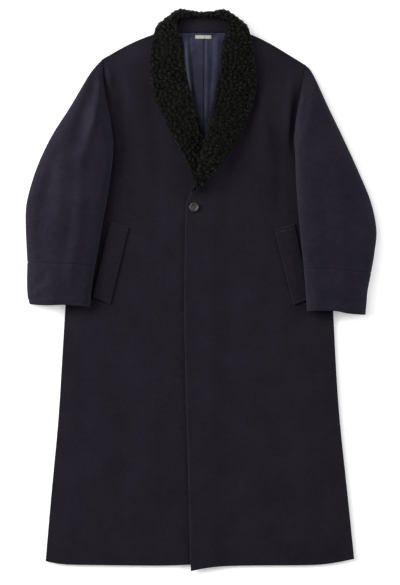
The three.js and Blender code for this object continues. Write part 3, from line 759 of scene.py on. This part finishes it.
def tube(name, rings, dip, nodes):
    outer = moved_in(rings, dip[:, None])
    inner = moved_in(rings, CLOTH - 0.4 * dip[:, None])
    faces = shell_faces(*rings.shape[:2], True)[:, ::-1]
    made = piece_from(name, both(outer, inner), faces, SLEEVE_WOOL_PAINTED_LIGHT, nodes, "wool")
    declare_sheet(np.concatenate([outer, outer[:, :1]], 1))


def seam_dip(distance, depth=2.1, reach=1.9):
    return depth * (1 - quarter_round(distance, reach))

# %% Sleeve and cuff pieces
CLOSE = np.array([0, 0.6, 1.6, 3.0]) / SLEEVE_LONG
SLEEVE_ROWS = np.concatenate([CLOSE, np.linspace(0.012, CUFF_START - 0.012, 92),
                              CUFF_START + 0.001 - CLOSE[::-1]])
CUFF_ROWS = np.concatenate([CUFF_START - 0.001 + CLOSE, np.linspace(CUFF_START + 0.012, 0.992, 40),
                            1 - CLOSE[::-1]])
to_hem = (1 - CUFF_ROWS) * SLEEVE_LONG
sleeve_dip = (seam_dip((CUFF_START - SLEEVE_ROWS) * SLEEVE_LONG)
              + seam_dip(SLEEVE_ROWS * SLEEVE_LONG, 0.7))
cuff_dip = (seam_dip((CUFF_ROWS - CUFF_START) * SLEEVE_LONG) + seam_dip(to_hem, 0.9, 2.6)
            + 0.5 * bell(to_hem - 10, 2.0))
for side in SLEEVES:
    tube(f"sleeve_{side}_tube", sleeve_rings(side, SLEEVE_ROWS), sleeve_dip,
         [f"sleeve_{side}_top", f"sleeve_{side}_under"])
    tube(f"cuff_{side}_band", sleeve_rings(side, CUFF_ROWS), cuff_dip, [f"cuff_{side}"])

# %% [markdown]
# ## Pocket welts
#
# A welt is a folded strip of the same cloth, sewn over the slanted pocket mouth and stitched down
# at both short ends. It lies on the front, so its lower face is the front's own upper face plus a
# small gap. The stitching pulls a shallow groove across each end, and the seam makes one more along
# the inner long edge. The stitches themselves are small rods that bed in the grooves.

# %% Stitches
def swept(path, side, up, radius, sides):
    """Points of rings round many paths at once, one ring at each point of a path."""
    rings = [path + radius * (math.cos(a) * side + math.sin(a) * up) for a in round_turn(sides)]
    return np.stack(rings, 2).reshape(-1, 3)


def rods_piece(name, starts, ends, radius, material, slot, bow=0.15, sides=5, parts=4):
    """Short thread rods from start to end, a little bowed up in the middle."""
    starts, ends = np.asarray(starts, float), np.asarray(ends, float)
    t = np.linspace(0, 1, parts + 1)[None, :, None]
    way = unit(ends - starts)
    side = unit(np.cross(way, [0, 0, 1.0]))
    up = np.cross(side, way)[:, None]
    path = mix(starts[:, None], ends[:, None], t) + up * (bow * np.sin(np.pi * t))
    thin = np.sqrt(np.clip(1 - (2 * t - 1) ** 4, 0.06, 1)) * radius
    caps = [list(range(sides))[::-1], [parts * sides + k for k in range(sides)]]
    one = [*grid_faces(parts + 1, sides, True).tolist(), *caps]
    faces = [[v + k * (parts + 1) * sides for v in f] for k in range(len(starts)) for f in one]
    piece_from(name, swept(path, side[:, None], up, thin, sides), faces, material, [], slot)


def laid_on(top, points):
    """Plan points lifted onto a surface."""
    return np.c_[points, top(points[:, 0], points[:, 1])]

# %% Welts
def welt_plan(side, across, along):
    a, b, c, d = (np.array(m, float) for m in WELTS[side])
    u, v = across[None, :, None], along[:, None, None]
    return mix(mix(a, b, u), mix(d, c, u), v)


def welt_under(x, y):
    return body_top(x, y) + SEAM_GAP + 0.15


def welt_stitch_top(x, y):
    return welt_under(x, y) + WELT_THICK - 0.45


WELT_LONG, WELT_WIDE, GROOVE_WIDE = 178.0, 43.0, 1.3
END_STITCH, SEAM_STITCH = 7.5, 3.0
STITCH_STARTS, STITCH_LONG = np.arange(0.06, 0.95, 0.075), 0.05
across = steps(26, (0.012, 0.03, 0.05))
along = steps(118, (0.003, 0.007, 0.012))
to_end = np.minimum(along, 1 - along)[:, None] * WELT_LONG
to_seam = (1 - across)[None, :] * WELT_WIDE
groove = (-0.75 * bell(to_end - END_STITCH, GROOVE_WIDE)
          - 0.6 * bell(to_seam - SEAM_STITCH, GROOVE_WIDE)
          + 0.5 * np.sin(np.pi * along)[:, None] * np.sin(np.pi * across)[None, :])
both_ends = np.array([END_STITCH / WELT_LONG, 1 - END_STITCH / WELT_LONG])
for side in WELTS:
    panel(f"welt_{side}", welt_plan(side, across, along), welt_under, WELT_THICK, WOOL,
          [f"pocket_welt_{side}"], "wool", 1.9, lambda x, y: groove)
    starts, ends = (laid_on(welt_stitch_top, welt_plan(side, marks, both_ends).reshape(-1, 2))
                    for marks in (STITCH_STARTS, STITCH_STARTS + STITCH_LONG))
    rods_piece(f"welt_{side}_stitches", starts, ends, 0.22, NAVY_THREAD, "wool")

# %% [markdown]
# ## Inside the neck
#
# Between the collar halves the back lining shows, with a pleat down its centre that gives room to
# move, and soft rolls beside it. Above it come a small loop to hang the coat by, a plain woven
# tab, and the stand, which is the wool strip inside the collar. The pleat is a real step in the
# cloth: one side laps over the other and leaves a thin dark line.

# %% Lining
LINING_FOLDS = folds_of("""
2.8 7 -40,588 -37,520 -29,450
2.0 8 -12,588 -11,500 -7,400 -4,330
2.2 5 -21,588 -20,530 -17,480 -13,440
3.3 7 -42,588 -40,540 -35,490 -30,450
0.6 3 -21,560 -18,500 -12,440
1.9 5 14,586 14,480 12,380
2.3 9 38,588 36,520 27,440
0.5 3 22,575 20,520 17,450
0.5 4 -16,572 -6,566 4,569
0.4 3 -14,556 -4,552 3,555
0.6 9 -6,390 -2,300 -2,200
""")


def lining_under(x, y):
    return back_lift(x, y) + CLOTH + SEAM_GAP + 0.25 + 0.6 * np.sin(np.pi * neck_share(x, y))


def pleat(x, y):
    away = 5 + 0.7 * np.sin(y / 47) - x
    lap = 1.8 * smooth((away + 0.3) / 0.8) * (1 - smooth((away - 5) / 12))
    return lap - 0.25 * bell(away + 1.8, 1.4)


def lining_rise(x, y):
    hidden = smooth((abs(x - CENTRE_X) - 46) / 8)
    folds = np.maximum(fold_height(LINING_FOLDS, x, y, 0.12), -0.3)
    folds = folds + pleat(x, y) * smooth((y - 250) / 60)
    ease = 1 - smooth((y - 566) / 22) * 0.75
    return np.maximum(folds * ease, -0.28) * (1 - hidden)


LINING_LOW, LINING_HIGH = 165, 589.4
columns = np.concatenate([  # close together at the pleat
    np.linspace(-66, -47, 10), np.linspace(-45, -1, 40), np.linspace(0, 22, 46),
    np.linspace(23.5, 48, 20), np.linspace(50, 70, 10)])
plan = np.stack(np.meshgrid(columns, np.linspace(LINING_LOW, LINING_HIGH, 150)), -1)
panel("lining_shell", plan, lining_under, LINING, SATIN, ["lining_back"], "lining", 0.9,
      lining_rise)

# %% Stand
u, v = steps(60, (0.004, 0.01, 0.02))[None, :], steps(22, (0.01, 0.03, 0.05))[:, None]
plan = np.stack([mix(mix(-60, -46, v), mix(64, 52, v), u), mix(590.8, 626, v) + 0 * u], -1)
STAND_SEAM_X, STAND_MIDDLE_Y = -19, 606


def stand_under(x, y):
    return back_lift(x, y) + CLOTH + SEAM_GAP


def stand_rise(x, y):
    seam = -0.5 * bell(x - STAND_SEAM_X, 1.1) + 0.4 * smooth((x - STAND_SEAM_X) / 2)
    return seam + 0.35 * bell(y - STAND_MIDDLE_Y, 8) * np.sin(x / 17)


panel("stand_shell", plan, stand_under, CLOTH, WOOL, ["collar_stand"], "wool", 1.4, stand_rise)

# %% Label tab and hanger loop
def on_lining(x, y):
    """A small gap over the highest part of the lining near by."""
    return highest(lambda x, y: lining_under(x, y) + LINING + lining_rise(x, y), x, y, 3) + SEAM_GAP


TAB_LEFT, TAB_RIGHT, TAB_LOW, TAB_HIGH = -14, 23, 576, 584
TAB_STITCH = 1.8
LOOP_LEFT, LOOP_RIGHT, LOOP_LOW, LOOP_HIGH = -22, 27, 586, 590


def tab_groove(x, y):
    return -0.22 * bell(np.minimum(x - TAB_LEFT, TAB_RIGHT - x) - TAB_STITCH, 0.7)


def loop_under(x, y):
    arch = np.maximum(np.sin(np.pi * (x - LOOP_LEFT) / (LOOP_RIGHT - LOOP_LEFT)), 0)
    return on_lining(x, y) + 1.2 * arch


u, v = steps(50, (0.006, 0.012, 0.02)), steps(14, (0.02, 0.05, 0.08))
plan = np.stack(np.meshgrid(mix(TAB_LEFT, TAB_RIGHT, u), mix(TAB_LOW, TAB_HIGH, v)), -1)
panel("label_tab", plan, on_lining, 0.8, TAPE, ["label"], "tape", 0.5, tab_groove)
spots = np.array([[x, y] for x in (TAB_LEFT + TAB_STITCH, TAB_RIGHT - TAB_STITCH)
                  for y in np.arange(TAB_LOW + 1, TAB_HIGH, 1.5)])
starts = laid_on(lambda x, y: on_lining(x, y) + 0.85, spots)
rods_piece("label_stitches", starts, starts + [0, 0.95, 0], 0.22, CREAM_THREAD, "tape", 0.08)

u, v = steps(40, (0.006, 0.012, 0.02))[None, :], steps(8, (0.05, 0.1, 0.15))[:, None]
plan = np.stack([mix(LOOP_LEFT, LOOP_RIGHT, u) + 0 * v,
                 mix(LOOP_LOW, LOOP_HIGH, v) - 1.5 * np.sin(np.pi * u)], -1)
panel("hanger_strip", plan, loop_under, 1.4, SATIN, ["hanger_loop"], "lining", 0.6)

# %% [markdown]
# ## Button
#
# One four-hole button of dark horn closes the coat. A button is turned on a lathe, so its section
# is drawn once and spun, and the holes are drilled with a boolean. Thread crosses the holes, goes
# down as a short wrapped shank, and leaves the button standing a little off the cloth. The stitched
# buttonhole lies under it, and hardly a millimetre of its end peeps out on the left.

# %% Turned and drilled button
BUTTON_RADIUS, BUTTON_THICK, DRILL_RADIUS = 10.5, 3.6, 0.95
HOLE_AT = 2.6 / math.sqrt(2)
QUARTERS = [(1, 1), (1, -1), (-1, 1), (-1, -1)]
BUTTON_AT = np.array([-16.5, 190.5])
cloth_top = float(left_under(*BUTTON_AT)) + CLOTH
button_low = float(highest(left_under, *BUTTON_AT, BUTTON_RADIUS)) + CLOTH + SEAM_GAP + 0.9


def turned(outline, turns=96):
    outline = np.array(outline, float)
    ring = outline[1:-1]
    points = [[0, 0, outline[0, 1]], [0, 0, outline[-1, 1]]]
    points += [[r * math.cos(a), r * math.sin(a), z] for r, z in ring for a in round_turn(turns)]
    faces = [[int(v) + 2 for v in f] for f in grid_faces(len(ring), turns, True)]
    faces += [[0, 2 + (k + 1) % turns, 2 + k] for k in range(turns)]
    end = 2 + (len(ring) - 1) * turns
    faces += [[1, end + k, end + (k + 1) % turns] for k in range(turns)]
    return points, faces


r = BUTTON_RADIUS
section = [[0, 0], [r - 2.6, 0], [r - 1.2, 0.2], [r - 0.3, 0.9], [r, 1.8], [r - 0.25, 2.7],
           [r - 0.9, 3.4], [r - 1.7, BUTTON_THICK], [r - 2.5, 3.45], [r - 3.2, 2.9],
           [r - 4.2, 2.62], [3.2, 2.5], [0, 2.48]]
button = piece_from("horn_button", *turned(section), HORN, ["button"], "horn")
drill_points, drill_faces = turned([[0, -3], [DRILL_RADIUS, -3], [DRILL_RADIUS, 7], [0, 7]], 20)
for sx, sy in QUARTERS:
    place = [sx * HOLE_AT, sy * HOLE_AT, 0]
    cutter = in_scene("drill", mesh_of("drill", np.array(drill_points) + place, drill_faces))
    cut = button.modifiers.new("drill", "BOOLEAN")
    cut.operation, cut.object, cut.solver = "DIFFERENCE", cutter, "EXACT"
    bpy.context.view_layer.update()
    drilled = button.evaluated_get(bpy.context.evaluated_depsgraph_get())
    drilled = bpy.data.meshes.new_from_object(drilled)
    button.modifiers.clear()
    button.data = drilled
    bpy.data.objects.remove(cutter)
button.data.transform(Matrix.Translation(Vector((*BUTTON_AT, button_low)) * MM))
print("button holes drilled:", len(button.data.polygons), "faces")

# %% Thread and buttonhole
starts, ends = [], []
middle = np.array([*BUTTON_AT, button_low + 2.1])
for sx, sy in QUARTERS[:2]:
    for shift in (-0.35, 0, 0.35):
        a = np.array([sx, sy, 0]) * HOLE_AT
        off = np.array([-sy, sx, 0]) * shift / math.sqrt(2)
        starts.append(middle + a + off)
        ends.append(middle - a + off)
rods_piece("button_thread", starts, ends, 0.3, NAVY_THREAD, "wool", 0.9, 6, 8)
shank = np.array([[0, 0], [0.7, 0], [-0.7, 0], [0, 0.7], [0, -0.7], [0.5, 0.5], [-0.5, -0.5]])
starts = [[*(BUTTON_AT + d), cloth_top - 0.3] for d in shank]
ends = [[*(BUTTON_AT + d * 0.8 + 0.05), button_low + 0.4] for d in shank]
rods_piece("button_shank", starts, ends, 0.5, NAVY_THREAD, "wool", 0.0, 6, 2)

HOLE_END, HOLE_Y = -25.4, BUTTON_AT[1]


def hole_top(x, y):
    return left_under(x, y) + CLOTH + LEFT_ROLL_OUT(x, y) + 0.12


slit = np.arange(HOLE_END + 0.3, HOLE_END + 17, 0.85)
starts = [[x, HOLE_Y + sign * 0.35] for x in slit for sign in (-1, 1)]
ends = [[x + 0.1, HOLE_Y + sign * 2.3] for x in slit for sign in (-1, 1)]
for angle in np.linspace(np.pi * 0.55, np.pi * 1.45, 9):
    for rods, radius in ((starts, 0.4), (ends, 2.5)):
        rods.append([HOLE_END + radius * math.cos(angle), HOLE_Y + radius * math.sin(angle)])
starts, ends = laid_on(hole_top, np.array(starts)), laid_on(hole_top, np.array(ends))
rods_piece("buttonhole", starts, ends, 0.42, NAVY_THREAD, "wool", 0.25)

# %% [markdown]
# ## Fur collar
#
# The collar is one band of curly fur on each side. It lies on the front beside the neck, and above
# the shoulder it rolls over and folds down behind, between the coat and the table. Its form is
# swept from stations, each a straight cut across the collar with an inner and an outer edge. Hair
# curves would look right but leave no mesh to keep, so the fur is built as what the eye reads: a
# lumpy skin, painted much darker than the locks as painted shade deep in the pile, and thousands of
# short tapered locks that curl round common centres.

# %% Fur finish
def fur_finish(name, dark, light, specular, roughness):
    material = new_material(name, light, roughness, Specular_IOR_Level=specular)
    tufts = blend_values(material, noise(material, 300, 3), noise(material, 42, 4, 0.7), 0.62)
    two_tones(material, tufts, dark, light, 0.4, 0.62)
    bump(material, noise(material, 1500, 2), 0.0004, 0.5)
    return material


FUR = fur_finish("black fur", (0.0015, 0.0015, 0.0011), (0.0172, 0.0167, 0.0126), 0.3, 0.38)
# painted shade: the skin under the locks is painted far darker than they are, for the shade deep in
# the pile; it is also less glossy
FUR_GROUND_PAINTED_SHADE = fur_finish("fur ground, painted shade", (0.0012, 0.0012, 0.0011), (0.0036, 0.0034, 0.003), 0.03, 0.7)
print("fur finishes:", FUR.name, "and", FUR_GROUND_PAINTED_SHADE.name)

# %% Collar stations
# inner x, inner y, outer x, outer y, length folded behind, thickness of skin and fur
COLLARS = {
    "right": [[3.2, 624, 3.2, 637, 88, 9.6], [-26, 624, -26, 641, 88, 9.6],
              [-48, 621, -52, 644, 86, 9.6], [-54, 611, -79, 626, 70, 9.8],
              [-54, 601, -98, 610, 40, 10], [-51, 586, -110, 592, 0, 10.5],
              [-45, 562, -118, 555, 0, 11], [-41, 528, -122, 505, 0, 12],
              [-28, 471, -112, 443, 0, 12], [-12, 405, -85, 385, 0, 12], [4, 352, -58, 333, 0, 11],
              [5, 320, -41, 304, 0, 9], [0, 285, -27, 276, 0, 7], [-9, 254, -18, 250, 0, 5]],
    "left": [[0.8, 624, 0.8, 637, 88, 9.6], [28, 624, 28, 640, 88, 9.6],
             [52, 621, 55, 643, 86, 9.6], [58, 611, 81, 627, 70, 9.8], [58, 601, 101, 611, 40, 10],
             [55, 586, 114, 592, 0, 10.5], [48, 562, 121, 555, 0, 11], [42, 505, 129, 488, 0, 12],
             [29, 443, 122, 423, 0, 12], [13, 364, 87, 342, 0, 12], [1, 318, 58, 298, 0, 12],
             [-8, 275, 29, 264, 0, 11], [-17, 242, 2, 237, 0, 9], [-23, 226, -18, 224, 0, 7]],
}
FUR_DEPTH = 2.6
BAND_ROWS, BAND_STEPS = 220, 64


def band(side):
    """Grids of the outer and the inner face of a collar half, and the normal of each point."""
    stations = curve(COLLARS[side], np.linspace(0, 1, BAND_ROWS))
    ix, iy, ox, oy, wrap, pile = (column[:, None] for column in stations.T)
    under = front_under if side == "right" else left_under
    wrap = np.maximum(wrap, 0)

    def level_at(x, y):
        return highest(lambda x, y: under(x, y) + CLOTH, x, y, 9) + REST_GAP + pile / 2

    width = np.hypot(ox - ix, oy - iy)
    way_x, way_y = (ox - ix) / width, (oy - iy) / width
    start = level_at(ix, iy)
    radius = (start - pile / 2) / 2
    flat = width - pile * 0.35 - radius * np.sin(np.minimum(wrap / radius, np.pi / 2))
    total = flat + wrap
    even = np.linspace(0, 1, BAND_STEPS)
    a = mix(even, (1 - np.cos(np.pi * even)) / 2, 0.45) * total
    on_top = np.minimum(a, flat)
    level = mix(level_at(ix + way_x * on_top, iy + way_y * on_top), start, smooth(wrap / 30))
    angle = np.clip((a - flat) / radius, 0, np.pi)
    past = np.maximum(a - flat - np.pi * radius, 0)
    n = on_top + radius * np.sin(angle) * (a > flat) - past
    z = level - radius * (1 - np.cos(angle)) * (a > flat)
    dn, dz = np.gradient(n, axis=1), np.gradient(z, axis=1)
    length = np.maximum(np.hypot(dn, dz), 1e-9)
    nn, nz = -dz / length, dn / length
    edge = np.minimum(a, total - a) / (pile * 0.55)
    half = pile / 2 * np.sqrt(1 - (1 - np.minimum(mix(0.08, 1, edge), 1)) ** 2)
    normals = np.stack([way_x * nn, way_y * nn, nz], -1)
    middle = np.stack([ix + way_x * n, iy + way_y * n, z], -1)
    skin = half - np.minimum(FUR_DEPTH, half * 0.5)
    return middle + normals * skin[..., None], middle - normals * half[..., None], normals


# %% Locks of fur
CURL_SPACING, CURL_REACH, LOCK_RINGS = 7.8, 5.4, 5


def curl_centres(points, rng):
    """Scattered points of the surface, none nearer to another than the spacing."""
    order = rng.permutation(len(points))
    kept = np.zeros((0, 3))
    for k in order:
        if len(kept) == 0 or np.min(((kept - points[k]) ** 2).sum(1)) > CURL_SPACING**2:
            kept = np.vstack([kept, points[k]])
    return kept


def scattered(grid, normals, count, rng):
    """Random points of a grid, evenly by area, with their normals."""
    a, b, c, d = grid[:-1, :-1], grid[:-1, 1:], grid[1:, 1:], grid[1:, :-1]
    area = norm(np.cross(c - a, d - b)).ravel()
    cell = rng.choice(len(area), count, p=area / area.sum())
    i, j = np.unravel_index(cell, a.shape[:2])
    s, t = rng.random(count)[:, None], rng.random(count)[:, None]
    place = mix(mix(grid[i, j], grid[i, j + 1], s), mix(grid[i + 1, j], grid[i + 1, j + 1], s), t)
    normal = mix(normals[i, j], normals[i + 1, j + 1], 0.5)
    return place, unit(normal)


def nearest_centre(points, centres):
    index = np.zeros(len(points), int)
    for part in slices(len(points)):
        index[part] = ((points[part, None] - centres[None]) ** 2).sum(-1).argmin(1)
    return index


def locks(roots, normals, centres, rng):
    """Tapered locks, each an arc that winds inwards round the nearest curl centre."""
    out = roots - centres[nearest_centre(roots, centres)]
    out -= (out * normals).sum(1, keepdims=True) * normals
    far = np.maximum(np.linalg.norm(out, axis=1, keepdims=True), 1e-6)
    out = out / far
    round_way = np.cross(normals, out)
    count = (len(roots), 1)
    far = np.clip(far, 0.9, CURL_REACH)
    middle = roots - out * far + rng.normal(0, 0.5, (len(roots), 3))
    spin = np.where(rng.random(count) < 0.8, 1, -1) * rng.uniform(4.5, 9.0, count) / (far + 1.0)
    tall = (0.7 + 1.7 * np.clip(1 - far / CURL_REACH, 0, 1)) * rng.uniform(0.6, 1.4, count)
    thick = rng.uniform(0.22, 0.4, count)
    path = []
    for k in np.linspace(0, 1, LOCK_RINGS):
        winding = out * np.cos(spin * k) + round_way * np.sin(spin * k)
        raised = tall * np.sin(0.4 + 2.2 * k) - 0.4
        path.append(middle + winding * far * (1 - 0.4 * k) + normals * raised)
    path = np.stack(path, 1)
    way = unit(np.gradient(path, axis=1))
    side = unit(np.cross(way, normals[:, None]))
    taper = thick[:, None] * (1 - 0.8 * np.linspace(0, 1, LOCK_RINGS)[None, :, None] ** 1.6)
    quads, size = grid_faces(LOCK_RINGS, 3, True), LOCK_RINGS * 3
    one = np.concatenate([quads[:, [0, 1, 2]], quads[:, [0, 2, 3]],
                          [[2, 1, 0], [size - 3, size - 2, size - 1]]])
    faces = (one[None] + (np.arange(len(roots)) * size)[:, None, None]).reshape(-1, 3)
    return swept(path, side, np.cross(side, way), taper, 3), faces


# %% Collar halves
LEFT_FRONT = np.concatenate([curve(HEM_LEFT, EVEN), curve(SIDE_LEFT, EVEN),
                             curve(SHOULDER_LEFT, EVEN)[::-1], curve(EDGE_LEFT, EVEN)[::-1]])


def kept_low(side, points, lowest):
    """No point lies under the lowest height, and the right half stays under the left front."""
    x, y, z = points.T
    points[:, 2] = np.maximum(z, lowest)
    if side == "right":
        covered = within(x, y, LEFT_FRONT) & (y < 420)
        points[:, 2] = np.where(covered, np.minimum(z, left_under(x, y) - 0.5), z)
    return points


LOCK_COUNT = 7400
for number, side in enumerate(COLLARS):
    rng = np.random.default_rng(41 + number)
    outer, inner, normals = band(side)
    centres = curl_centres(scattered(outer, normals, 3000, rng)[0], rng)
    flat_points = outer.reshape(-1, 3)
    near = norm(flat_points - centres[nearest_centre(flat_points, centres)])
    lump = (1.2 * np.clip(1 - (near / 4.4) ** 2, -0.6, 1)).reshape(outer.shape[:2])
    skin = outer + normals * lump[..., None]
    skin[..., 2] = np.maximum(skin[..., 2], 0.6)
    collar = piece_from(f"collar_{side}_skin", kept_low(side, both(skin, inner), 0.3),
                        shell_faces(*skin.shape[:2]), FUR_GROUND_PAINTED_SHADE, [f"collar_{side}"], "fur")
    points, faces = locks(*scattered(skin, normals, LOCK_COUNT, rng), centres, rng)
    piece_from(f"collar_{side}_fur", kept_low(side, points, 0.2), faces, FUR, [], "fur")

# %% [markdown]
# ## Camera, light and table
#
# The camera looks straight down from four metres with a long lens, so the coat keeps its shape.
# Cloth this dark shows its folds only when light comes in low. So a large soft light stands low on
# the left and a weaker one low on the right, and a key above the collar gives the shadow under the
# hem and the cuffs. The table is plain white and glows a little, which keeps those shadows pale.

# %% Camera
EYE, COAT_TOP = 4.0, 0.008
FRAME_LONG = 585 * 2.292 * MM  # the long side of the picture, in metres on the table
camera = in_scene("camera", bpy.data.cameras.new("camera"))
camera.location = (-0.0028, -0.0046, EYE)
camera.data.sensor_width = 36
camera.data.lens = 36 * (EYE - COAT_TOP) / FRAME_LONG
camera.data.clip_end = 100
SCENE.camera = camera
print("lens", round(camera.data.lens, 1), "mm")

# %% Table
PAPER = new_material("white table", (0.93, 0.93, 0.93), 0.9, Specular_IOR_Level=0.1,
                     Emission_Color=(1, 1, 1, 1), Emission_Strength=0.27)
two_tones(PAPER, noise(PAPER, 8, 2), (0.92, 0.92, 0.92), (0.94, 0.94, 0.94))
HALF, TABLE_Z = 6000, -0.4
corners = [(x * HALF, y * HALF, TABLE_Z) for x, y in ((-1, -1), (1, -1), (1, 1), (-1, 1))]
table = in_scene("table", mesh_of("table", corners, [(0, 1, 2, 3)]))
table.data.materials.append(PAPER)
print("table", 2 * HALF * MM, "m wide")

# %% Light
LIGHTS = {"key": ((-2.4, 2.5, 2.3), 1.5, 78), "low left": ((-3.9, 0.9, 1.25), 2.1, 315),
          "low right": ((3.9, 0.5, 1.2), 1.9, 150)}  # place, size, power
for name, (place, size, power) in LIGHTS.items():
    light = bpy.data.lights.new(name, "AREA")
    light.shape, light.size, light.energy = "SQUARE", size, power
    lamp = in_scene(name, light)
    lamp.location = place
    lamp.rotation_mode = "QUATERNION"
    lamp.rotation_quaternion = (-Vector(place)).to_track_quat("-Z", "Y")
world = bpy.data.worlds.new("studio")
SCENE.world = world
world.use_nodes = True
sky = world.node_tree.nodes["Background"].inputs
sky["Color"].default_value, sky["Strength"].default_value = (1, 1, 1, 1), 0.23
SCENE.view_settings.view_transform = "Standard"
print("lights:", [*LIGHTS])
